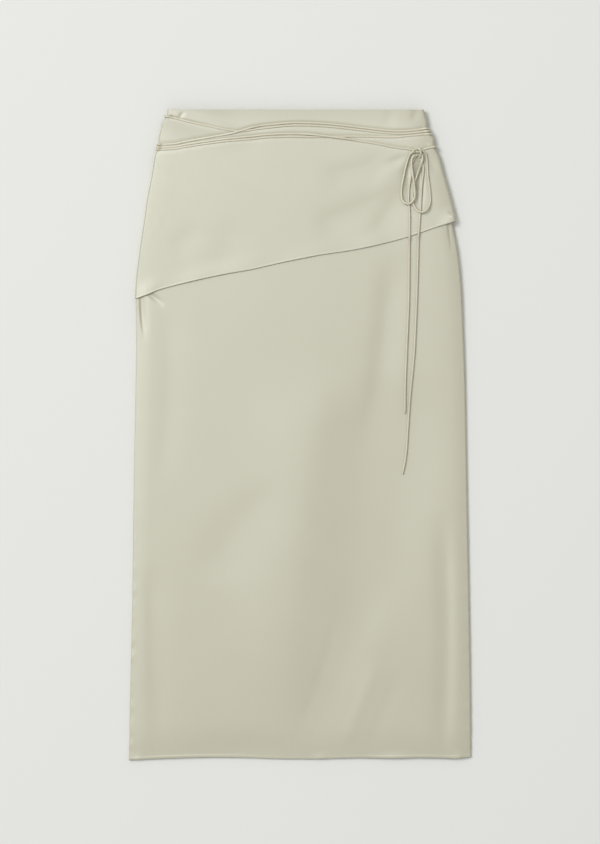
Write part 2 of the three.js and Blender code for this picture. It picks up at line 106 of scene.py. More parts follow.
# %% List the outline
# Each row: y, x of the left side, x of the right side
SIDES = [
    (-0.440, -0.2309, 0.2306),
    (-0.331, -0.2287, 0.2298),
    (-0.223, -0.2262, 0.2281),
    (-0.061, -0.2241, 0.2252),
    (0.074, -0.2215, 0.2227),
    (0.155, -0.2205, 0.2196),
    (0.183, -0.2211, 0.2184),
    (0.209, -0.2196, 0.2167),
    (0.235, -0.2165, 0.2140),
    (0.262, -0.2128, 0.2099),
    (0.286, -0.2091, 0.2057),
    (0.317, -0.2047, 0.2022),
    (0.357, -0.1970, 0.1912),
    (0.385, -0.1928, 0.1834),
    (0.392, -0.1913, 0.1818),
    (0.402, -0.1882, 0.1786),
    (0.411, -0.1860, 0.1732),
    (0.425, -0.1824, 0.1690),
    (0.440, -0.1760, 0.1652),
]

# Each row: x, y
OVERLAY_HEM = [
    (-0.260, 0.1770),
    (-0.224, 0.1825),
    (-0.210, 0.1870),
    (-0.188, 0.1956),
    (-0.145, 0.2067),
    (-0.104, 0.2156),
    (-0.065, 0.2225),
    (-0.026, 0.2314),
    (0.026, 0.2417),
    (0.066, 0.2477),
    (0.105, 0.2556),
    (0.145, 0.2661),
    (0.185, 0.2799),
    (0.211, 0.2896),
    (0.260, 0.3040),
]
SKIRT_HEM = [
    (-0.231, -0.4391),
    (-0.206, -0.4380),
    (-0.189, -0.4372),
    (-0.135, -0.4356),
    (-0.081, -0.4357),
    (-0.027, -0.4373),
    (0.027, -0.4373),
    (0.060, -0.4364),
    (0.081, -0.4361),
    (0.108, -0.4366),
    (0.135, -0.4366),
    (0.162, -0.4359),
    (0.189, -0.4363),
    (0.208, -0.4368),
    (0.231, -0.4348),
]

print(len(SIDES), "points down each side")


# %% Draw the sides and the hems
def curve_through(rows, column, at):
    """The smooth curve through one column of a table, at any place, held level past its ends."""
    keys = np.array([row[0] for row in rows])
    values = np.array([row[column] for row in rows])
    last = len(rows) - 1
    after = np.minimum(np.arange(len(rows)) + 1, last)
    before = np.maximum(np.arange(len(rows)) - 1, 0)
    slopes = (values[after] - values[before]) / (keys[after] - keys[before])
    at = np.clip(at, keys[0], keys[-1])
    k = np.clip(np.searchsorted(keys, at, side="right"), 1, last)
    span = keys[k] - keys[k - 1]
    t = (at - keys[k - 1]) / span
    return (
        (2 * t**3 - 3 * t**2 + 1) * values[k - 1]
        + (t**3 - 2 * t**2 + t) * span * slopes[k - 1]
        + (3 * t**2 - 2 * t**3) * values[k]
        + (t**3 - t**2) * span * slopes[k]
    )


def plateau(t):
    return np.exp(-(t**4))


# The tie draws the sides in where it goes round them.
# Each row: y, how far the left side moves, how far the right side moves, half width
PINCHES = [
    (0.4284, 0.0022, 0.0, 0.007),
    (0.4086, 0.0, -0.0026, 0.009),
    (0.3874, 0.0026, -0.0024, 0.009),
]


def side_at(column, y):
    pinch = sum(row[column] * plateau((y - row[0]) / row[3]) for row in PINCHES)
    return curve_through(SIDES, column, y) + pinch


def left_side(y):
    return side_at(1, y)


def right_side(y):
    return side_at(2, y)


def overlay_hem(x):
    return curve_through(OVERLAY_HEM, 1, x)


def skirt_hem(x):
    return curve_through(SKIRT_HEM, 1, x)


print("waist", round(float(right_side(WAIST_Y) - left_side(WAIST_Y)), 3), "m across")

# %% [markdown]
# ## How high the cloth lies
#
# Cloth that is laid out is never quite flat. It stands off the layer below by a few millimetres,
# sinks in long soft troughs, and rolls over at its sides. A cloth simulation could find such
# folds, but not the ones in the picture, so each fold is listed: an arc from one point past a
# bend to another, with a half width and a height. A negative height is a trough.
#
# The back steps up twice on its way to the waist: over the overlay's layer, and over the cords
# that pass under it. The front rises over the same layers in one long slope. At its sides the
# front rolls over: it climbs from the edge to a soft crest, then sinks slowly to the middle.

# %% Place the folds
# Each row: three points of the arc, from the top down, then the half width on its west and its
# east side, and the height
FOLDS = [
    (0.032, 0.101, -0.004, -0.115, -0.038, -0.453, 0.062, 0.042, 0.0020),
    (0.124, 0.249, 0.113, 0.128, 0.089, -0.034, 0.015, 0.024, -0.0010),
    (0.119, 0.087, 0.105, -0.075, 0.084, -0.291, 0.046, 0.060, -0.0020),
    (0.094, -0.164, 0.061, -0.291, -0.011, -0.442, 0.034, 0.028, -0.0014),
    (0.050, -0.240, 0.030, -0.315, -0.008, -0.418, 0.005, 0.009, -0.0003),
    (0.108, -0.294, 0.082, -0.364, 0.051, -0.434, 0.009, 0.009, 0.0004),
    (0.135, -0.311, 0.113, -0.372, 0.084, -0.446, 0.010, 0.014, -0.0003),
    (0.190, -0.095, 0.198, -0.264, 0.190, -0.493, 0.014, 0.010, -0.0012),
    (0.165, -0.020, 0.168, -0.290, 0.158, -0.600, 0.040, 0.050, 0.0006),
    (0.000, -0.493, -0.068, -0.453, -0.148, -0.493, 0.040, 0.040, -0.0018),
    (0.000, -0.061, -0.081, -0.126, -0.124, -0.210, 0.028, 0.044, -0.0008),
    (-0.184, 0.202, -0.176, 0.060, -0.192, -0.088, 0.013, 0.018, -0.0004),
    (-0.200, -0.169, -0.197, -0.277, -0.186, -0.480, 0.012, 0.018, -0.0006),
    (0.124, 0.376, 0.076, 0.357, 0.024, 0.349, 0.012, 0.024, -0.0005),
    (0.160, 0.349, 0.127, 0.308, 0.096, 0.257, 0.014, 0.028, -0.0008),
    (0.132, 0.333, 0.070, 0.299, 0.011, 0.279, 0.016, 0.024, -0.0007),
    (-0.077, 0.290, -0.096, 0.254, -0.108, 0.211, 0.022, 0.028, -0.0004),
    (-0.135, 0.287, -0.154, 0.263, -0.176, 0.246, 0.014, 0.018, -0.0003),
    (0.135, 0.365, 0.112, 0.340, 0.089, 0.313, 0.010, 0.010, 0.0002),
    (0.040, 0.506, 0.040, 0.427, 0.030, 0.371, 0.050, 0.050, -0.0004),
    (-0.238, 0.448, -0.148, 0.423, -0.059, 0.402, 0.020, 0.009, 0.0015),
    (-0.230, 0.452, -0.160, 0.446, -0.080, 0.444, 0.026, 0.020, 0.0011),
]

print(len(FOLDS), "folds and troughs")

# %% Place the creases
# Narrow ones, with the same columns
CREASES = [
    # at the waist
    (-0.1565, 0.4365, -0.1600, 0.4300, -0.1645, 0.4240, 0.0024, 0.0030, -0.0007),
    (0.1255, 0.4515, 0.1200, 0.4300, 0.1160, 0.4085, 0.0050, 0.0090, -0.0002),
    (0.1595, 0.4515, 0.1550, 0.4325, 0.1500, 0.4165, 0.0045, 0.0080, -0.0005),
    (0.1780, 0.4515, 0.1740, 0.4325, 0.1700, 0.4165, 0.0050, 0.0050, -0.0007),
    # pulled out from the knot
    (0.1500, 0.3800, 0.1300, 0.3700, 0.1050, 0.3650, 0.0040, 0.0070, -0.0005),
    (0.1540, 0.3740, 0.1430, 0.3560, 0.1330, 0.3350, 0.0050, 0.0070, -0.0006),
    (0.1620, 0.3760, 0.1770, 0.3640, 0.1860, 0.3460, 0.0050, 0.0060, -0.0005),
    (0.1690, 0.3935, 0.1780, 0.3880, 0.1890, 0.3895, 0.0030, 0.0030, 0.0008),
    # below the bow
    (0.1635, 0.3920, 0.1630, 0.3435, 0.1605, 0.2895, 0.0080, 0.0022, -0.0027),
    (0.1510, 0.3840, 0.1465, 0.3435, 0.1460, 0.3005, 0.0055, 0.0030, -0.0015),
    # on the overlay's right corner
    (0.1960, 0.3020, 0.2020, 0.2985, 0.2085, 0.2985, 0.0024, 0.0024, -0.0006),
    (0.1975, 0.2960, 0.2035, 0.2930, 0.2095, 0.2930, 0.0022, 0.0022, 0.0005),
]

# Creases of the skirt alone, that come out from under the overlay
SKIRT_CREASES = [
    # below the overlay's left corner
    (-0.2140, 0.2085, -0.2140, 0.1680, -0.2090, 0.1220, 0.0020, 0.0060, -0.0014),
    (-0.2180, 0.2010, -0.1985, 0.1862, -0.1800, 0.1715, 0.0034, 0.0034, -0.0014),
    # below its right corner
    (0.1970, 0.3085, 0.2005, 0.2760, 0.2050, 0.2435, 0.0015, 0.0090, -0.0013),
    (0.2030, 0.3085, 0.2065, 0.2790, 0.2090, 0.2490, 0.0016, 0.0070, -0.0008),
]

print(len(CREASES) + len(SKIRT_CREASES), "creases")

# %% Shape one fold
ARC_STEPS = 12
# The share of its arc over which a fold fades at each end
FOLD_FADE = 0.3
CREASE_FADE = 0.5
# Farther than anything on the skirt
FAR = 9.0


def ease(t):
    t = np.clip(t, 0.0, 1.0)
    return t * t * (3 - 2 * t)


def bump(t):
    return np.exp(-t * t)


def fold_at(row, x, y, end_share):
    """A fold's height: full on its arc, fading out to both sides and towards both ends."""
    start, middle, end = np.array(row[0:2]), np.array(row[2:4]), np.array(row[4:6])
    bend = 2 * middle - (start + end) / 2
    t = np.linspace(0, 1, ARC_STEPS + 1)[:, None]
    arc = (1 - t) ** 2 * start + 2 * t * (1 - t) * bend + t**2 * end
    least = np.full(np.shape(x), FAR)
    along = np.zeros(np.shape(x))
    side = np.zeros(np.shape(x))
    for k in range(ARC_STEPS):
        run = arc[k + 1] - arc[k]
        share = ((x - arc[k][0]) * run[0] + (y - arc[k][1]) * run[1]) / (run @ run)
        share = np.clip(share, 0, 1)
        far = np.hypot(x - arc[k][0] - run[0] * share, y - arc[k][1] - run[1] * share)
        turned = run[0] * (y - arc[k][1]) - run[1] * (x - arc[k][0])
        along = np.where(far < least, (k + share) / ARC_STEPS, along)
        side = np.where(far < least, turned, side)
        least = np.minimum(far, least)
    fade = ease(along / end_share) * ease((1 - along) / end_share)
    return row[8] * fade * bump(least / np.where(side > 0, row[7], row[6]))


print("one fold", round(float(fold_at(FOLDS[0], *FOLDS[0][2:4], FOLD_FADE)) * 1000, 1), "mm high")

# %% Work out the heights
TIE_ZONE = 0.335
TIE_ZONE_LENGTH = 0.036
HEM_LEAD = 0.032
STEP_LENGTH = 0.026
FRONT_SLOPE = -0.05
FRONT_SLOPE_LENGTH = 0.48
# The right roll: from the edge to its crest, how far it sinks beyond, its height
RIGHT_ROLL = (0.020, 0.040, 0.0011)
HIP_ROLL_Y = 0.25
HIP_ROLL_WIDE = 0.06
HIP_ROLL_HIGH = 0.0003
# The left side and the hem are pressed flatter: how far in they climb, and how low they start
LEFT_EDGE_REACH = 0.022
LEFT_EDGE_LOW = 0.0013
LEFT_EDGE_LOW_AT_HIP = 0.0004
HIP_FROM = 0.12
HIP_LENGTH = 0.10
HEM_EDGE_REACH = 0.045
HEM_EDGE_LOW = 0.0016
# Above the cords the waist edge is free, and stands up a little
WAIST_RISE = 0.0007
WAIST_RISE_LENGTH = 0.020
# How softly a trough in the front comes to rest on the back
FLATTENING = 0.0006
HIP_MIDDLE = (0.0, 0.3)


def back_rise(x, y):
    """How high the underside of the skirt's back lies."""
    over_overlay = ease((y - overlay_hem(x) + HEM_LEAD + STEP_LENGTH) / STEP_LENGTH)
    over_ties = ease((y - TIE_ZONE) / TIE_ZONE_LENGTH)
    return OVERLAY_STEP * over_overlay + TIE_STEP * over_ties


def front_rise(y):
    """How far the layers below lift the front."""
    return (OVERLAY_STEP + TIE_STEP) * ease((y - FRONT_SLOPE) / FRONT_SLOPE_LENGTH)


def roll_over(inside, roll):
    """The share of a side roll's height, by the distance in from the edge."""
    climbing = 1 - (1 - inside / roll[0]) ** 2
    return np.where(inside > roll[0], bump((inside - roll[0]) / roll[1]), climbing)


def loft_at(x, y):
    """How far the skirt's front stands off the layers below."""
    from_left = np.clip((x - left_side(y)) / LEFT_EDGE_REACH, 0, 1)
    from_right = np.maximum(0, right_side(y) - x)
    right_high = RIGHT_ROLL[2] + HIP_ROLL_HIGH * bump((y - HIP_ROLL_Y) / HIP_ROLL_WIDE)
    from_hem = np.clip((y - skirt_hem(x)) / HEM_EDGE_REACH, 0, 1)
    at_hip = ease((y - HIP_FROM) / HIP_LENGTH)
    left_low = LEFT_EDGE_LOW + (LEFT_EDGE_LOW_AT_HIP - LEFT_EDGE_LOW) * at_hip
    sunk = left_low * (1 - from_left) ** 2 + HEM_EDGE_LOW * (1 - from_hem) ** 2
    rolled = right_high * roll_over(from_right, RIGHT_ROLL)
    at_waist = np.clip(1 - (WAIST_Y - y) / WAIST_RISE_LENGTH, 0, 1)
    risen = rolled + WAIST_RISE * at_waist**2
    return LOFT + risen - sunk + sum(fold_at(row, x, y, FOLD_FADE) for row in FOLDS)


def creases_at(rows, x, y):
    return sum(fold_at(row, x, y, CREASE_FADE) for row in rows)


def front_height(x, y):
    """How high the outer side of the skirt's front lies."""
    least = back_rise(x, y) + LEAST_LOFT
    spare = front_rise(y) + loft_at(x, y) - least
    flattened = FLATTENING * np.log1p(np.exp(spare / FLATTENING))
    return 2 * CLOTH + SEAM + least + flattened + creases_at(CREASES, x, y)


def seam_height(x, y):
    return back_rise(x, y) + SEAM_SHARE * (front_height(x, y) - back_rise(x, y))


print("front at the middle of the hip", round(float(front_height(*HIP_MIDDLE)) * 1000, 1), "mm")

# %% [markdown]
# ## A point on a side fold
#
# At its sides the cloth turns under in a small round fold, and the side seam runs along the middle
# of it. Front and back each take a quarter turn from the flat to the seam. One function gives a
# point on either quarter by its angle up from the seam, with the way that the cloth faces there,
# so that the panels and the cords that go round them agree.

# %% Work out the side folds
def fold_point(face, side, angle, y):
    """A point of the skirt's outer side on a side fold, and the direction that it faces."""
    front = face == "front"
    edge = left_side(y) if side == "left" else right_side(y)
    inward = 1.0 if side == "left" else -1.0
    reach = ROUNDS[side]
    up = 1.0 if front else -1.0
    inner = edge + inward * reach
    seam = seam_height(inner, y) + up * SEAM / 2
    tall = front_height(inner, y) - seam if front else seam - back_rise(inner, y)
    across = -inward * np.cos(angle) / reach
    upward = up * np.sin(angle) / tall
    size = np.hypot(across, upward)
    point = np.stack([edge + inward * reach * (1 - np.cos(angle)), y + 0.0 * edge,
                      seam + up * tall * np.sin(angle)], axis=-1)
    facing = np.stack([across / size, 0.0 * edge, upward / size], axis=-1)
    return point, facing


halfway_up, _ = fold_point("front", "left", np.pi / 4, np.array(HIP_MIDDLE[1]))
print("halfway up the left side fold", np.round(halfway_up, 4))

# %% [markdown]
# ## The tie's cords
#
# The tie is a rouleau, a narrow tube of bias-cut satin about three millimetres thick. It goes
# round the waist and is knotted in a bow at the right hip. Cords come first, because they are
# what can upset the layout. A curve with a round bevel makes each one: its points are a listed
# route over the cloth, and every point is set on the cloth below it, or higher where the cord
# crosses over others.

# %% List the routes
# Each point: x, y, and where it crosses over cords, how many
UPPER_LOW = [
    (-0.1742, 0.4277), (-0.1647, 0.4253), (-0.1485, 0.4212), (-0.1350, 0.4182),
    (-0.1215, 0.4155), (-0.1067, 0.4123), (-0.0918, 0.4096), (-0.0770, 0.4089),
    (-0.0648, 0.4106), (-0.0500, 0.4128), (-0.0186, 0.4162), (0.0000, 0.4168),
    (0.0277, 0.4158), (0.0483, 0.4142), (0.0783, 0.4107), (0.0972, 0.4085),
    (0.1161, 0.4064), (0.1296, 0.4056), (0.1418, 0.4057), (0.1552, 0.4068),
    (0.1674, 0.4083),
]
UPPER_HIGH = [
    (-0.1870, 0.3907), (-0.1688, 0.3919), (-0.1512, 0.3954), (-0.1256, 0.3999),
    (-0.1053, 0.4034), (-0.0918, 0.4060, 1), (-0.0770, 0.4101, 1), (-0.0662, 0.4135, 1),
    (-0.0500, 0.4166), (-0.0186, 0.4196), (0.0000, 0.4203), (0.0277, 0.4193),
    (0.0483, 0.4177), (0.0783, 0.4142), (0.0972, 0.4119), (0.1161, 0.4097),
    (0.1296, 0.4089), (0.1418, 0.4091), (0.1552, 0.4103), (0.1647, 0.4118),
]
LOWER_HIGH = [
    (-0.1878, 0.3868), (-0.1688, 0.3880), (-0.1512, 0.3913), (-0.1256, 0.3951),
    (-0.0992, 0.3985), (-0.0648, 0.4020), (-0.0432, 0.4042), (-0.0122, 0.4054),
    (0.0041, 0.4050), (0.0202, 0.4038, 1), (0.0419, 0.4012, 1), (0.0608, 0.3988, 1),
    (0.0770, 0.3961), (0.1012, 0.3923), (0.1292, 0.3867), (0.1445, 0.3847),
    (0.1534, 0.3830),
]
LOWER_LOW = [
    (-0.1886, 0.3840), (-0.1688, 0.3852), (-0.1512, 0.3883), (-0.1256, 0.3921),
    (-0.0992, 0.3955), (-0.0648, 0.3984), (-0.0432, 0.4006), (-0.0122, 0.4014),
    (0.0202, 0.4010), (0.0472, 0.4015), (0.0702, 0.4018), (0.1026, 0.4015),
    (0.1188, 0.4008), (0.1305, 0.4010), (0.1499, 0.4029), (0.1688, 0.4047),
]
RIGHT_RUN = [(0.1656, 0.3836), (0.1715, 0.3857), (0.1790, 0.3872)]
LOOP_LEFT = [
    (0.1532, 0.3816, 1), (0.1488, 0.3779, 0.6), (0.1453, 0.3700), (0.1420, 0.3591),
    (0.1399, 0.3483), (0.1377, 0.3374), (0.1366, 0.3274), (0.1372, 0.3179, 0.4),
    (0.1404, 0.3123, 1), (0.1455, 0.3104, 1), (0.1509, 0.3133, 1), (0.1542, 0.3193, 1),
    (0.1547, 0.3274, 1), (0.1536, 0.3374, 1), (0.1519, 0.3483, 1), (0.1505, 0.3591, 1),
    (0.1501, 0.3665, 1), (0.1512, 0.3725, 1), (0.1540, 0.3763, 1),
]
LOOP_RIGHT = [
    (0.1654, 0.3816, 1), (0.1685, 0.3792, 0.6), (0.1705, 0.3727), (0.1712, 0.3638),
    (0.1717, 0.3537), (0.1728, 0.3436), (0.1744, 0.3320), (0.1755, 0.3193),
    (0.1747, 0.3104, 0.4), (0.1715, 0.3040, 1), (0.1671, 0.3001, 1), (0.1623, 0.2993, 1),
    (0.1577, 0.3021, 0.8), (0.1538, 0.3075, 0.2), (0.1517, 0.3141), (0.1524, 0.3247),
    (0.1538, 0.3355), (0.1555, 0.3429), (0.1580, 0.3501), (0.1609, 0.3591, 0.7),
    (0.1636, 0.3665, 1), (0.1651, 0.3722, 1), (0.1646, 0.3763, 1),
]
TAIL_LEFT = [
    (0.1573, 0.3766), (0.1525, 0.3690), (0.1509, 0.3600), (0.1497, 0.3490),
    (0.1472, 0.3341), (0.1463, 0.3179), (0.1470, 0.3058), (0.1477, 0.2963),
    (0.1474, 0.2707), (0.1470, 0.2221), (0.1466, 0.1816), (0.1450, 0.1411),
    (0.1434, 0.1046), (0.1420, 0.0668), (0.1415, 0.0284),
]
TAIL_RIGHT = [
    (0.1613, 0.3766), (0.1642, 0.3672), (0.1661, 0.3591), (0.1655, 0.3490),
    (0.1640, 0.3368), (0.1632, 0.3233), (0.1623, 0.3044), (0.1612, 0.2909),
    (0.1602, 0.2774), (0.1594, 0.2626), (0.1584, 0.2221), (0.1571, 0.1789),
    (0.1543, 0.1154), (0.1512, 0.0803), (0.1480, 0.0466), (0.1453, 0.0061),
    (0.1435, -0.0209), (0.1412, -0.0385), (0.1381, -0.0533),
]

print(len(TAIL_RIGHT), "points along the longer tail")

# %% Lay the routes on the cloth
CORD_GAP = 0.00015
# How far around itself a cord feels for higher cloth
FEEL = 0.004
HEM_MARGIN = 0.005
CORD_SPACING = 0.006
CURVE_STEPS = 16
# What a crossing counts for while the points are spread along the route
CROSSING_RISE = 0.003
DENT = 0.0005
DENT_WIDE = 0.0024
# A pressed cord has its middle thickness between these two x, and changes over this length
PRESSED_FROM = -0.035
PRESSED_TO = 0.050
PRESSED_LENGTH = 0.060
WRAP_ANGLES = np.radians([78, 60, 42, 26, 12, 1])


def cloth_top(x, y):
    """The height of the top layer, the overlay where there is one."""
    overlay = OVERLAY_STEP * ease((y - overlay_hem(x) + HEM_MARGIN) / HEM_MARGIN)
    return front_height(x, y) + overlay


def resting_height(x, y, thick=CORD):
    """The height of the middle of a cord that lies on the cloth."""
    highest = cloth_top(x, y)
    left = left_side(y) + ROUNDS["left"]
    right = right_side(y) - ROUNDS["right"]
    for dx, dy in ((FEEL, 0), (-FEEL, 0), (0, FEEL), (0, -FEEL)):
        beside = np.clip(x + dx, left, right)
        highest = np.maximum(highest, cloth_top(beside, y + dy))
    return highest + thick / 2 + CORD_GAP


def smooth_points(points, spacing):
    """Points along a smooth curve through the given ones, evenly spaced."""
    points = np.array(points, dtype=float)
    padded = np.vstack([2 * points[0] - points[1], points, 2 * points[-1] - points[-2]])
    dense = []
    for k in range(1, len(padded) - 2):
        p0, p1, p2, p3 = padded[k - 1 : k + 3]
        for t in np.linspace(0, 1, CURVE_STEPS, endpoint=False):
            dense.append(0.5 * (2 * p1 + (p2 - p0) * t + (2 * p0 - 5 * p1 + 4 * p2 - p3) * t**2
                                + (3 * p1 - p0 - 3 * p2 + p3) * t**3))
    dense = np.array(dense + [points[-1]])
    along = np.concatenate([[0], np.cumsum(np.linalg.norm(np.diff(dense, axis=0), axis=1))])
    even = np.linspace(0, along[-1], max(4, int(np.ceil(along[-1] / spacing))) + 1)
    return np.stack([np.interp(even, along, dense[:, c]) for c in range(dense.shape[1])], axis=-1)


def pressed_share(x, pressed):
    """How tall a pressed cord is, as a share of a round one: at the left, the middle, the right."""
    left, middle, right = pressed
    towards_left = ease((PRESSED_FROM - x) / PRESSED_LENGTH)
    towards_right = ease((x - PRESSED_TO) / PRESSED_LENGTH)
    return middle + (left - middle) * towards_left + (right - middle) * towards_right


def laid_path(route, pressed=None):
    """A route's points, set on the cloth or on the cords that it crosses."""
    plan = [(x, y, sum(up) * CROSSING_RISE) for x, y, *up in route]
    flat = smooth_points(plan, CORD_SPACING)
    x, y = flat[:, 0], flat[:, 1]
    up = flat[:, 2] / CROSSING_RISE
    share = 1.0 if pressed is None else pressed_share(x, pressed)
    dent = 0.0 if pressed is None else DENT
    height = resting_height(x, y, share * CORD) + up * share * CORD_PITCH - dent
    return np.stack([x, y, height], axis=-1)


def round_side(face, side, y):
    """The cord's way round a side fold, from the flat to the seam."""
    points = []
    for angle in WRAP_ANGLES:
        point, facing = fold_point(face, side, angle, np.array(y))
        points.append(point + facing * (OVERLAY_STEP + CORD / 2 + CORD_GAP))
    return np.array(points)


print("longer tail", len(laid_path(TAIL_RIGHT)), "points on the cloth")

# %% Make a cord from its points
MIDDLE_SPACING = 0.001
cords = []


def press_flat(mesh, points, pressed):
    """Squeeze a cord's section towards its middle line, where the line runs level."""
    middle = smooth_points(points, MIDDLE_SPACING)
    run = np.gradient(middle, axis=0)
    level = 1 - np.abs(run[:, 2]) / np.linalg.norm(run, axis=1)
    for corner in mesh.vertices:
        nearest = int(np.argmin(((middle - np.array(corner.co)) ** 2).sum(axis=1)))
        share = float(pressed_share(middle[nearest, 0], pressed))
        squeeze = 1 - (1 - share) * level[nearest] ** 2
        corner.co.z = middle[nearest, 2] + (corner.co.z - middle[nearest, 2]) * squeeze


def smooth_cord(name, points, end_radius=1.0, pressed=None, thick=CORD):
    """A curve with a round bevel, made a mesh, and pressed where it runs level."""
    data = bpy.data.curves.new(name + "_line", "CURVE")
    data.dimensions = "3D"
    data.bevel_depth = thick / 2
    data.bevel_resolution = 4
    data.resolution_u = 3
    data.use_fill_caps = True
    spline = data.splines.new("BEZIER")
    spline.bezier_points.add(len(points) - 1)
    for knot, place in zip(spline.bezier_points, points):
        knot.co = place
        knot.handle_left_type = "AUTO"
        knot.handle_right_type = "AUTO"
    spline.bezier_points[-1].radius = end_radius
    line = add_object(name + "_line", data)
    shown = line.evaluated_get(bpy.context.evaluated_depsgraph_get())
    mesh = bpy.data.meshes.new_from_object(shown)
    bpy.data.objects.remove(line)
    if pressed is not None:
        press_flat(mesh, np.array(points), pressed)
    for corner in mesh.vertices:
        corner.co.z = max(corner.co.z, 0.0)
    mesh.name = name
    cord = add_object(name, mesh)
    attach(cord, "root")
    cords.append(cord)
    return cord


def length_of(points):
    return float(np.linalg.norm(np.diff(points, axis=0), axis=1).sum())


print("a cord is", round(CORD * 1000, 1), "mm thick")

# %% [markdown]
# ## The runs round the waist
#
# Four runs cross the front from the left side. Three go on round the right side, one ends in the
# knot, and a short run comes from the right side to the knot. Under the skirt the runs cross the
# back side by side, without crossing each other.

# %% Lay the runs
# Each row: the route, the y where it goes round the left side, the y at the right side, and how
# tall the pressed cord is at the left, the middle and the right, as a share of a round one
LEFT_ENDS = (0.4284, 0.3907, 0.3868, 0.3840)
RIGHT_ENDS = (0.4122, 0.4086, 0.4050, 0.3876)
FRONT_RUNS = [
    (UPPER_LOW, LEFT_ENDS[0], RIGHT_ENDS[1], (0.30, 0.50, 0.34)),
    (UPPER_HIGH, LEFT_ENDS[1], RIGHT_ENDS[0], (0.30, 0.50, 0.34)),
    (LOWER_HIGH, LEFT_ENDS[2], None, (0.30, 0.50, 0.50)),
    (LOWER_LOW, LEFT_ENDS[3], RIGHT_ENDS[2], (0.30, 0.50, 0.34)),
    (RIGHT_RUN, None, RIGHT_ENDS[3], (0.50, 0.50, 0.50)),
]
BACK_FLAT = 0.012
BACK_GAP = 0.00003
BACK_CORD_HEIGHT = CORD / 2 + BACK_GAP
BACK_POINTS = 9
DENT_SPACING = 0.0015

front_lines = []

for number, (route, left_y, right_y, pressed) in enumerate(FRONT_RUNS, start=1):
    parts = [laid_path(route, pressed)]
    front_lines.append(smooth_points(parts[0], DENT_SPACING))
    if left_y is not None:
        parts.insert(0, round_side("front", "left", left_y)[::-1])
    if right_y is not None:
        parts.append(round_side("front", "right", right_y))
    run = smooth_cord(f"waist_run_{number}", np.vstack(parts), pressed=pressed)
    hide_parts(f"tie_front_{number}")

for number, (left_y, right_y) in enumerate(zip(LEFT_ENDS, RIGHT_ENDS), start=1):
    start = np.array((left_side(left_y) + BACK_FLAT, left_y, BACK_CORD_HEIGHT))
    end = np.array((right_side(right_y) - BACK_FLAT, right_y, BACK_CORD_HEIGHT))
    across = [start + (end - start) * t for t in np.linspace(0, 1, BACK_POINTS)]
    under = np.vstack([round_side("back", "left", left_y)[::-1], across,
                       round_side("back", "right", right_y)])
    run = smooth_cord(f"back_run_{number}", under)
    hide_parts(f"tie_back_{number}")
print(len(cords), "runs of the tie")

# %% [markdown]
# ## The thread carrier
#
# Where the upper run leaves the left side, a small loop of thread holds it to the overlay. It could
# be left out, but it is what keeps the top run high at that side, and it shows as a short bright
# stitch over the cord. It is half a turn of thin cord, laid across the run.

# %% Hold the upper run with a thread carrier
CARRIER_X = -0.1735
CARRIER_Y = 0.4276
CARRIER_THICK = 0.0007
CARRIER_REACH = 0.0021
CARRIER_RISE = 0.0017
CARRIER_SLANT = 0.0004
CARRIER_POINTS = 9

carrier_floor = float(cloth_top(np.array(CARRIER_X), np.array(CARRIER_Y)))
carrier_points = [
    np.array([CARRIER_X + CARRIER_SLANT * turn, CARRIER_Y + CARRIER_REACH * np.cos(turn),
              carrier_floor + CARRIER_RISE * np.sin(turn)])
    for turn in np.linspace(0, np.pi, CARRIER_POINTS)
]
carrier = smooth_cord("thread_carrier", carrier_points, thick=CARRIER_THICK)
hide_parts("tie_front_1")
print("carrier", round(length_of(np.array(carrier_points)) * 1000, 1), "mm of thread")

# %% [markdown]
# ## The bow's loops and tails
#
# The loops and the tails are the free part of the tie: what a hand can lift. Each is made as a
# cord of its real length, which is printed. The tails end bare, cut and turned in. A loop leaves
# the knot and goes back into it.

# %% Lay the loops and the tails
# How thick a bare end is, as a share of the cord
BARE_END = 0.8
# Each row: name, node, route, what the far end is
FREE_CORDS = [
    ("loop_left", "bow_loop_left", LOOP_LEFT, "object"),
    ("loop_right", "bow_loop_right", LOOP_RIGHT, "object"),
    ("tail_left", "tie_tail_left", TAIL_LEFT, "bare"),
    ("tail_right", "tie_tail_right", TAIL_RIGHT, "bare"),
]
for name, node, route, far_end in FREE_CORDS:
    points = laid_path(route)
    cord = smooth_cord(name, points, BARE_END if far_end == "bare" else 1.0)
    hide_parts(node)
    print(name, round(length_of(points), 3), "m")

# %% [markdown]
# ## The knot
#
# The knot is the same cord pulled tight: one short turn that comes up between the two loops, goes
# over the strands and dives back in on their right. A ball would look like a bead, so only this
# turn is shown round, over a small squeezed core that fills the hollow below it.

# %% Tie the knot
# Each point: x, y, and the number of cords that it crosses over
KNOT_TURN = [
    (0.1527, 0.3792, 0.2), (0.1543, 0.3830, 1.1), (0.1578, 0.3850, 1.9), (0.1608, 0.3838, 2.2),
    (0.1622, 0.3800, 2.1), (0.1626, 0.3760, 1.5), (0.1612, 0.3733, 0.5),
]
KNOT_CORE = [
    (0.1528, 0.3794, 0.0), (0.1560, 0.3808, 0.3), (0.1595, 0.3804, 0.4), (0.1632, 0.3808, 0.2),
    (0.1660, 0.3818, 0.0),
]
KNOT_X = 0.1593
KNOT_Y = 0.3818
KNOT_SPACING = 0.0012


def knot_line(route):
    plan = smooth_points([(x, y, up * CORD_PITCH) for x, y, up in route], KNOT_SPACING)
    resting = float(resting_height(np.array(KNOT_X), np.array(KNOT_Y)))
    return plan + np.array([0.0, 0.0, resting])


knot = smooth_cord("knot_turn", knot_line(KNOT_TURN))
core = smooth_cord("knot_core", knot_line(KNOT_CORE))
for piece in (knot, core):
    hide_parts("tie_knot")
print("knot turn", round(length_of(knot_line(KNOT_TURN)) * 1000), "mm long")

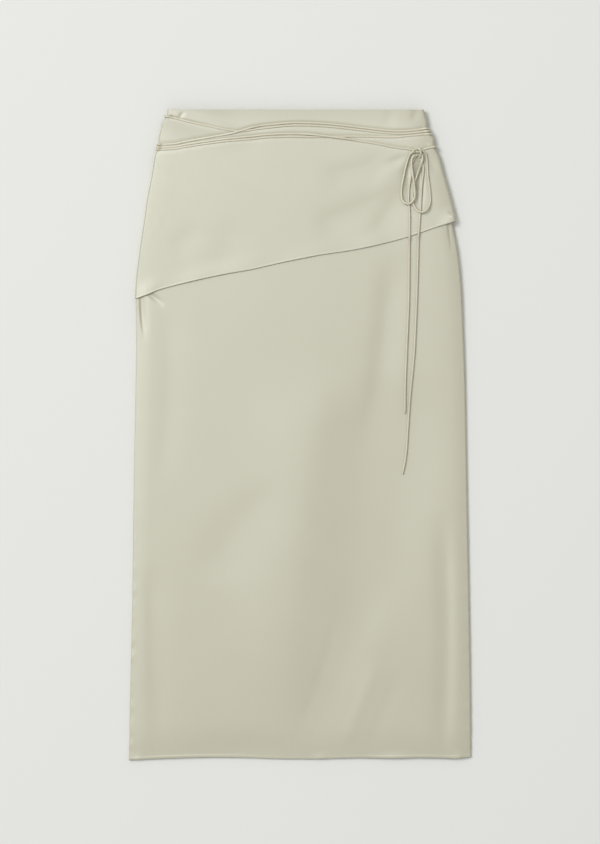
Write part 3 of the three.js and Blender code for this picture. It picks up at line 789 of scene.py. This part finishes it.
# %% [markdown]
# ## Satin
#
# Satin is woven so that long threads float over the others, which gives the cloth a soft sheen
# and very fine streaks along the warp. Two effects make it: faint streaks and cloudy changes in
# tone in the colour, and the same streaks in the roughness and the bump. They are one node group,
# because panels and cords both use it, each with its own tones.

# %% Build the satin group
# Each pattern: how it is stretched, its scale, its detail
CLOUDS = ((1, 1, 1), 14, 2)
STREAKS = ((1, 0.06, 1), 900, 3)
THREADS = ((1, 0.12, 1), 2600, 2)
STREAKS_IN_TONE = 0.45
THREADS_IN_HEIGHT = 0.6
LEAST_ROUGHNESS = 0.36
MOST_ROUGHNESS = 0.56
SOCKETS = [
    ("Place", "INPUT", "Vector"), ("Light tone", "INPUT", "Color"),
    ("Dark tone", "INPUT", "Color"), ("Color", "OUTPUT", "Color"),
    ("Roughness", "OUTPUT", "Float"), ("Height", "OUTPUT", "Float"),
]


def satin_group():
    group = bpy.data.node_groups.new("satin_weave", "ShaderNodeTree")
    for label, way, kind in SOCKETS:
        group.interface.new_socket(label, in_out=way, socket_type="NodeSocket" + kind)
    nodes, links = group.nodes, group.links
    given = nodes.new("NodeGroupInput")
    result = nodes.new("NodeGroupOutput")

    def noise(stretch, scale, detail):
        mapping = nodes.new("ShaderNodeMapping")
        mapping.inputs["Scale"].default_value = stretch
        links.new(given.outputs["Place"], mapping.inputs["Vector"])
        texture = nodes.new("ShaderNodeTexNoise")
        texture.inputs["Scale"].default_value = scale
        texture.inputs["Detail"].default_value = detail
        links.new(mapping.outputs["Vector"], texture.inputs["Vector"])
        return texture.outputs["Fac"]

    def blend(a, b, share):
        mix = nodes.new("ShaderNodeMix")
        mix.inputs["Factor"].default_value = share
        links.new(a, mix.inputs[2])
        links.new(b, mix.inputs[3])
        return mix.outputs[0]

    clouds = noise(*CLOUDS)
    streaks = noise(*STREAKS)
    threads = noise(*THREADS)
    tone = blend(clouds, streaks, STREAKS_IN_TONE)
    colour = nodes.new("ShaderNodeMix")
    colour.data_type = "RGBA"
    links.new(tone, colour.inputs["Factor"])
    links.new(given.outputs["Dark tone"], colour.inputs[6])
    links.new(given.outputs["Light tone"], colour.inputs[7])
    rough = nodes.new("ShaderNodeMapRange")
    rough.inputs["To Min"].default_value = LEAST_ROUGHNESS
    rough.inputs["To Max"].default_value = MOST_ROUGHNESS
    links.new(streaks, rough.inputs["Value"])
    links.new(colour.outputs[2], result.inputs["Color"])
    links.new(rough.outputs["Result"], result.inputs["Roughness"])
    links.new(blend(streaks, threads, THREADS_IN_HEIGHT), result.inputs["Height"])
    return group


satin = satin_group()
print("satin group with", len(satin.nodes), "nodes")

# %% Make the two satins
def satin_material(name, light, dark, coordinates, relief_height, sheen):
    """A satin finish. The Principled shader stays here, and the group feeds it."""
    material = bpy.data.materials.new(name)
    material.use_nodes = True
    nodes, links = material.node_tree.nodes, material.node_tree.links
    shader = nodes["Principled BSDF"]
    shader.inputs["Sheen Weight"].default_value = sheen
    shader.inputs["Sheen Roughness"].default_value = 0.4
    shader.inputs["Specular IOR Level"].default_value = 0.8
    place = nodes.new("ShaderNodeTexCoord")
    weave = nodes.new("ShaderNodeGroup")
    weave.node_tree = satin
    weave.inputs["Light tone"].default_value = (*light, 1)
    weave.inputs["Dark tone"].default_value = (*dark, 1)
    relief = nodes.new("ShaderNodeBump")
    relief.inputs["Strength"].default_value = 0.35
    relief.inputs["Distance"].default_value = relief_height
    links.new(place.outputs[coordinates], weave.inputs["Place"])
    links.new(weave.outputs["Color"], shader.inputs["Base Color"])
    links.new(weave.outputs["Roughness"], shader.inputs["Roughness"])
    links.new(weave.outputs["Height"], relief.inputs["Height"])
    links.new(relief.outputs["Normal"], shader.inputs["Normal"])
    return material


cloth_satin = satin_material("sage_satin", light=(0.510, 0.499, 0.370), dark=(0.465, 0.454, 0.333),
                             coordinates="UV", relief_height=0.00008, sheen=0.06)
# The tie is cut from the same satin as the skirt. Its tones are lighter and shifted towards tan,
# and the tan is partly painted shade: it warms the shade between the bow's strands.
cord_satin = satin_material("tie_satin", light=(0.60, 0.568, 0.425), dark=(0.53, 0.495, 0.36),
                            coordinates="Object", relief_height=0.00006, sheen=0.05)
for cord in cords:
    cord.data.materials.append(cord_satin)
print("two satins")

# %% [markdown]
# ## A panel of cloth
#
# Each panel starts as a plain grid, the way that cloth starts as a rectangle. Its columns are
# spread over the left side fold, the flat and the right side fold, and its rows from the waist to
# the hem, closer together near the edges where the hem is rolled. Then every point is moved to
# its place on the laid-out form. A Solidify modifier gives the wall, inwards, so the outer side
# stays where the solid has it.

# %% Spread a grid over a panel
FOLD_COLUMNS = 6
# How much closer together columns and rows are at the edges, from 0 to 1
SIDE_FINE = 0.9
BACK_ROWS_FINE = 0.75
OVERLAY_ROWS_FINE = 0.8
# Sides and hem depend on each other, so the points settle in rounds from a guess
FIRST_GUESS = 0.2
SETTLING_ROUNDS = 6


def shares_between(count, fine):
    """Shares of the way from one edge to the other, closer together at both edges."""
    even = np.linspace(0, 1, count + 1)
    return even - fine * np.sin(2 * np.pi * even) / (2 * np.pi)


def place_sheet(face, columns, rows, hem, off=0.0, flare=0.0):
    """The outer side's points of a laid-out panel, an array of rows by columns by 3."""
    share = rows[:, None] + np.zeros((1, columns + 1))
    flat_columns = shares_between(columns - 2 * FOLD_COLUMNS, SIDE_FINE)
    inner = np.pad(flat_columns, FOLD_COLUMNS, mode="edge")
    x = -FIRST_GUESS + 2 * FIRST_GUESS * inner[None, :] + 0.0 * share
    for _ in range(SETTLING_ROUNDS):
        y = WAIST_Y + (hem(x) - WAIST_Y) * share
        left = left_side(y) + ROUNDS["left"]
        x = left + (right_side(y) - ROUNDS["right"] - left) * inner
    z = front_height(x, y) if face == "front" else back_rise(x, y)
    points = np.stack([x, y, z], axis=-1)
    for k in range(FOLD_COLUMNS):
        angle = 0.5 * np.pi * k / FOLD_COLUMNS
        for column, side in ((k, "left"), (columns - k, "right")):
            points[:, column] = fold_point(face, side, angle, y[:, column])[0]
    facing = np.cross(np.gradient(points, axis=1), np.gradient(points, axis=0))
    facing /= np.linalg.norm(facing, axis=-1, keepdims=True)
    outward = 1.0 if face == "front" else -1.0
    facing *= outward * np.sign(facing[len(rows) // 2, columns // 2, 2])
    moved = points + facing * off
    down = ease((FLARE_TOP - y) / FLARE_LENGTH)
    across = ease(1 - (right_side(y) - points[..., 0]) / FLARE_WIDE)
    moved[..., 0] += flare * down * across
    moved[..., 2] = np.maximum(moved[..., 2], 0.0)
    return moved, facing


print("nine columns would lie at", np.round(shares_between(8, SIDE_FINE), 2))

# %% Make a panel from its points
WALL = 0.0009


def cloth_piece(node, points):
    """A panel: a grid whose points are moved to the given places, with a wall inside."""
    name = node + "_satin"
    rows, columns = points.shape[0] - 1, points.shape[1] - 1
    mesh = bpy.data.meshes.new(name)
    sheet = bmesh.new()
    bmesh.ops.create_grid(sheet, x_segments=columns, y_segments=rows, size=0.5)
    weave = sheet.loops.layers.uv.new("UVMap")
    steps = np.linalg.norm(np.diff(points[:, :, [0, 2]], axis=1), axis=-1)
    across = np.concatenate([np.zeros((rows + 1, 1)), np.cumsum(steps, axis=1)], axis=1)
    across -= across[:, columns // 2][:, None]
    spots = {}
    for corner in sheet.verts:
        spots[corner] = (round((0.5 - corner.co.y) * rows), round((corner.co.x + 0.5) * columns))
    for face in sheet.faces:
        for loop in face.loops:
            i, j = spots[loop.vert]
            loop[weave].uv = (across[i, j], points[i, j, 1])
    for corner, (i, j) in spots.items():
        corner.co = points[i, j]
    if node.endswith("back"):
        bmesh.ops.reverse_faces(sheet, faces=sheet.faces)
    for face in sheet.faces:
        face.smooth = True
    sheet.to_mesh(mesh)
    sheet.free()
    piece = add_object(name, mesh)
    wall = piece.modifiers.new("wall", "SOLIDIFY")
    wall.thickness = WALL
    wall.offset = -1
    mesh.materials.append(cloth_satin)
    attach(piece, "root")
    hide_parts(node)
    print(name, len(mesh.polygons), "faces")
    return piece


# %% [markdown]
# ## The skirt
#
# The skirt is two long panels that meet at the side seams. The front carries the folds. The back
# lies flat on the surface, so it needs far fewer columns. Both hems are narrow, turned twice and
# stitched, which leaves a slightly thicker rib along the bottom edge. The rib is tighter in some
# places than in others, the edge stands up here and there, and the thread of the side seams draws
# the cloth into small puckers.

# %% Shape the hem and the side seams
HEM_WIDTH = 0.0045
HEM_RIB = 0.00025
# Shares of the rib's width that it grows over, and of its height that it drops at the edge
RIB_GROWTH = 0.35
EDGE_WIDTH = 0.0012
EDGE_DROP = 0.8
# The rib is tighter and looser in turn, over this distance
HEM_UNEVEN = 0.30
EVEN_PART = 0.55
UNEVEN_PART = 0.45


def add_hem(points, facing):
    """Thicken the last few millimetres before the hem, unevenly, and round the very edge."""
    from_edge = np.abs(points[..., 1] - skirt_hem(points[..., 0]))
    inside = ease((HEM_WIDTH - from_edge) / (RIB_GROWTH * HEM_WIDTH))
    edge = ease(1 - from_edge / EDGE_WIDTH)
    tight = EVEN_PART - UNEVEN_PART * np.cos(2 * np.pi * points[..., 0] / HEM_UNEVEN)
    return points + facing * (HEM_RIB * tight * (inside - EDGE_DROP * edge))[..., None]


# Where the hem's front edge stands up a little. Each row: x, half width, height
SKIRT_LIFTS = [
    (-0.218, 0.006, 0.0005),
    (0.029, 0.009, 0.0007),
    (0.128, 0.020, 0.0008),
    (0.214, 0.007, 0.0006),
]
SKIRT_LIFT_LENGTH = 0.014
LIFT_CURVE = 1.5


def lift_hem(points, hem, lifts, length):
    """Lift the edge at a hem here and there, less and less away from it."""
    from_edge = np.abs(points[..., 1] - hem(points[..., 0]))
    lift = sum(row[2] * bump((points[..., 0] - row[0]) / row[1]) for row in lifts)
    lifted = points.copy()
    lifted[..., 2] += lift * ease(1 - from_edge / length) ** LIFT_CURVE
    return lifted


# The thread of a side seam draws the cloth up in small puckers, more towards the hem.
# Each wave: length, phase, height
PUCKER_WAVES = [(0.0310, 0.4, 0.00016), (0.0230, 1.9, 0.00014), (0.0173, 3.1, 0.00012)]
PUCKER_REACH = 0.005
PUCKER_FROM = -0.05
PUCKER_LENGTH = 0.2


def puckers_at(points):
    """The height of the puckers along both side seams."""
    x, y = points[..., 0], points[..., 1]
    from_side = np.minimum(x - left_side(y), right_side(y) - x)
    waves = sum(row[2] * np.sin(2 * np.pi * y / row[0] + row[1]) for row in PUCKER_WAVES)
    return waves * bump(from_side / PUCKER_REACH) * ease((PUCKER_FROM - y) / PUCKER_LENGTH)


print(len(SKIRT_LIFTS), "places where the hem stands up")

# %% Lay out the skirt
# The back is pressed on the surface, so its creases only go up into it. The columns are those of
# the folds.
BACK_CREASES = [
    (0.190, 0.170, 0.175, 0.060, 0.180, -0.040, 0.008, 0.014, 0.0006),
    (0.110, 0.040, 0.030, -0.160, -0.060, -0.330, 0.014, 0.024, 0.0007),
    (-0.060, -0.200, -0.030, -0.300, 0.030, -0.410, 0.009, 0.013, 0.0006),
    (-0.185, -0.120, -0.192, -0.260, -0.188, -0.420, 0.008, 0.012, 0.0006),
    (-0.205, 0.175, -0.197, 0.150, -0.199, 0.115, 0.004, 0.008, 0.0006),
    (-0.150, 0.160, -0.070, 0.120, 0.020, 0.130, 0.012, 0.016, 0.0005),
]

# Each pair: the number of rows down to here, the share of the way from the waist to the hem
ROW_STEPS = [(0, 0.0), (34, 0.16), (140, 0.365), (240, 0.955), (262, 0.99), (280, 1.0)]
SKIRT_COLUMNS = 170
BACK_COLUMNS = 90
BACK_ROWS = 200

row_numbers, row_shares = np.array(ROW_STEPS).T
skirt_rows = np.interp(np.arange(row_numbers[-1] + 1), row_numbers, row_shares)
front_points, front_facing = place_sheet("front", SKIRT_COLUMNS, skirt_rows, skirt_hem)
front_points[..., 2] += creases_at(SKIRT_CREASES, front_points[..., 0], front_points[..., 1])
front_points[..., 2] += puckers_at(front_points)
front_points = add_hem(front_points, front_facing)
front_points = lift_hem(front_points, skirt_hem, SKIRT_LIFTS, SKIRT_LIFT_LENGTH)
back_rows = shares_between(BACK_ROWS, BACK_ROWS_FINE)
back_points, _ = place_sheet("back", BACK_COLUMNS, back_rows, skirt_hem)
back_points[..., 2] += creases_at(BACK_CREASES, back_points[..., 0], back_points[..., 1])
skirt_front = cloth_piece("skirt_front", front_points)
skirt_back = cloth_piece("skirt_back", back_points)

# %% [markdown]
# ## The hem's stitches
#
# A row of small stitches holds the hem, just above its rib. A bump in the material would be lost
# in the finished mesh, so every stitch is a small flattened box, laid on one row of the sheet.

# %% Stitch the hem
STITCH_PITCH = 0.0026
STITCH_SIZE = (0.0019, 0.00028, 0.00022)
# How far the row lies above the hem, and how far in from the sides it starts and ends
STITCH_LINE = 0.0052
STITCH_MARGIN = 0.006


def hem_stitches(name, points):
    """A row of short stitches laid on the sheet, along the hem."""
    heights = points[:, points.shape[1] // 2, 1] - skirt_hem(0.0)
    line = points[int(np.argmin(np.abs(heights - STITCH_LINE)))]
    along = np.concatenate([[0], np.cumsum(np.linalg.norm(np.diff(line, axis=0), axis=1))])
    spots = np.arange(STITCH_MARGIN, along[-1] - STITCH_MARGIN, STITCH_PITCH)
    places = np.stack([np.interp(spots, along, line[:, c]) for c in range(3)], axis=-1)
    thread = bmesh.new()
    for place in places:
        stitch = bmesh.ops.create_cube(thread, size=1.0)
        bmesh.ops.scale(thread, vec=STITCH_SIZE, verts=stitch["verts"])
        bmesh.ops.translate(thread, vec=place, verts=stitch["verts"])
    mesh = bpy.data.meshes.new(name)
    thread.to_mesh(mesh)
    thread.free()
    mesh.materials.append(cord_satin)
    row_of_stitches = add_object(name, mesh)
    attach(row_of_stitches, "root")
    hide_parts("skirt_front")
    return len(places)


print(hem_stitches("hem_stitches", front_points), "stitches along the hem")

# %% [markdown]
# ## The overlay
#
# The hip overlay is a second layer, cut on a slant: low at the left side and high at the right,
# and carried round both sides. Its hem is rolled to a fine round edge, which catches the light
# as a thin bright line. It lies on the skirt, so its points are the skirt's, moved out.

# %% Lay out the overlay
ROLL_WIDTH = 0.0020
ROLL_HEIGHT = 0.0003
OVERLAY_COLUMNS = 150
OVERLAY_ROWS = 110
OVERLAY_BACK_ROWS = 90


def dents_below_cords(x, y):
    """How deep the taut runs press into the overlay."""
    line = np.vstack(front_lines)
    near = np.full(x.shape, FAR)
    band = y > TIE_ZONE
    for place in line:
        near[band] = np.minimum(near[band], np.hypot(x[band] - place[0], y[band] - place[1]))
    return DENT * plateau(near / DENT_WIDE)


# Where the hem stands off the skirt. Each row: x, half width, height
HEM_LIFTS = [
    (-0.207, 0.016, 0.0010),
    (-0.140, 0.026, 0.0006),
    (-0.090, 0.030, 0.0005),
    (0.010, 0.034, 0.0004),
    (0.095, 0.026, 0.0005),
    (0.206, 0.014, 0.0016),
]
LIFT_LENGTH = 0.030


def roll_hem(points, facing):
    """Give the hem the round bead of a rolled edge."""
    from_edge = np.abs(points[..., 1] - overlay_hem(points[..., 0]))
    across = np.clip(1 - from_edge / ROLL_WIDTH, 0, 1)
    bead = np.sqrt(np.clip(1 - (2 * across - 1) ** 2, 0, 1)) * (across > 0)
    return points + facing * (ROLL_HEIGHT * bead)[..., None]


over_rows = shares_between(OVERLAY_ROWS, OVERLAY_ROWS_FINE)
over_points, over_facing = place_sheet("front", OVERLAY_COLUMNS, over_rows, overlay_hem,
                                       OVERLAY_STEP, CORNER_FLARE)
over_points = roll_hem(over_points, over_facing)
over_points = lift_hem(over_points, overlay_hem, HEM_LIFTS, LIFT_LENGTH)
over_points[..., 2] -= dents_below_cords(over_points[..., 0], over_points[..., 1])
under_rows = shares_between(OVERLAY_BACK_ROWS, OVERLAY_ROWS_FINE)
under_points, _ = place_sheet("back", BACK_COLUMNS, under_rows, overlay_hem,
                              OVERLAY_STEP, CORNER_FLARE)
overlay_front = cloth_piece("overlay_front", over_points)
overlay_back = cloth_piece("overlay_back", under_points)

# %% [markdown]
# ## What the cloth was cut to
#
# Each panel is a flat piece of cloth that was laid out. For the skirt and for the overlay, the
# area between the sides, from the hem to the waist, is worked out and printed.

HALF_ACROSS = 0.24
LOWEST_Y = -0.45
SPOTS_ACROSS = 400
SPOTS_DOWN = 1200


def flat_area(hem):
    """The area between the sides, from the hem to the waist."""
    x = np.linspace(-HALF_ACROSS, HALF_ACROSS, SPOTS_ACROSS)
    y = np.linspace(LOWEST_Y, WAIST_Y, SPOTS_DOWN)
    inside = (x[:, None] > left_side(y)) & (x[:, None] < right_side(y)) & (y > hem(x)[:, None])
    return float(inside.sum() * (x[1] - x[0]) * (y[1] - y[0]))


skirt_area = flat_area(skirt_hem)
overlay_area = flat_area(overlay_hem)
print("areas", round(skirt_area, 3), round(overlay_area, 3), "square metres")

# %% [markdown]
# ## The surface and the light
#
# The skirt lies on a plain pale surface. The light comes from the upper left, wide and soft: it
# leaves a soft shadow along the right side and thin ones below the cords. A big area light does
# that, and an even pale world fills the shadows. A second area light nearer the camera is for the
# satin alone: only gloss sees it, and the cloth looks brighter wherever a fold tilts towards it.

# %% Lay the floor
FLOOR_SIZE = 6.0

floor_mesh = bpy.data.meshes.new("floor")
floor_grid = bmesh.new()
bmesh.ops.create_grid(floor_grid, x_segments=1, y_segments=1, size=FLOOR_SIZE / 2)
floor_grid.to_mesh(floor_mesh)
floor_grid.free()
floor = add_object("floor", floor_mesh)
paper = bpy.data.materials.new("pale_surface")
paper.use_nodes = True
paper_shader = paper.node_tree.nodes["Principled BSDF"]
paper_shader.inputs["Base Color"].default_value = (0.80, 0.805, 0.77, 1)
paper_shader.inputs["Roughness"].default_value = 0.9
paper_shader.inputs["Specular IOR Level"].default_value = 0.1
floor_mesh.materials.append(paper)
print("a floor", FLOOR_SIZE, "m wide")

# %% Light it
world = bpy.data.worlds.new("studio")
world.use_nodes = True
background = world.node_tree.nodes["Background"]
background.inputs["Color"].default_value = (1.0, 1.0, 1.0, 1)
background.inputs["Strength"].default_value = 0.57
bpy.context.scene.world = world

KEY_PLACE = (-4.0, 2.9, 6.6)
KEY_SIZE = 3.4
KEY_POWER = 350.0
SHEEN_PLACE = (-1.5, 1.5, 5.3)
SHEEN_SIZE = 2.0
SHEEN_POWER = 270.0

target = add_object("light_target", None)


def soft_light(name, place, size, power):
    """A square area light that points at the middle of the skirt."""
    data = bpy.data.lights.new(name, "AREA")
    data.size = size
    data.energy = power
    lamp = add_object(name, data)
    lamp.location = place
    aim = lamp.constraints.new("TRACK_TO")
    aim.target = target
    aim.track_axis = "TRACK_NEGATIVE_Z"
    aim.up_axis = "UP_Y"
    return lamp


soft_light("key_light", KEY_PLACE, KEY_SIZE, KEY_POWER)
sheen = soft_light("sheen_light", SHEEN_PLACE, SHEEN_SIZE, SHEEN_POWER)
sheen.visible_diffuse = False
bpy.context.scene.view_settings.view_transform = "Standard"
print("a key light, a sheen light and an even world")
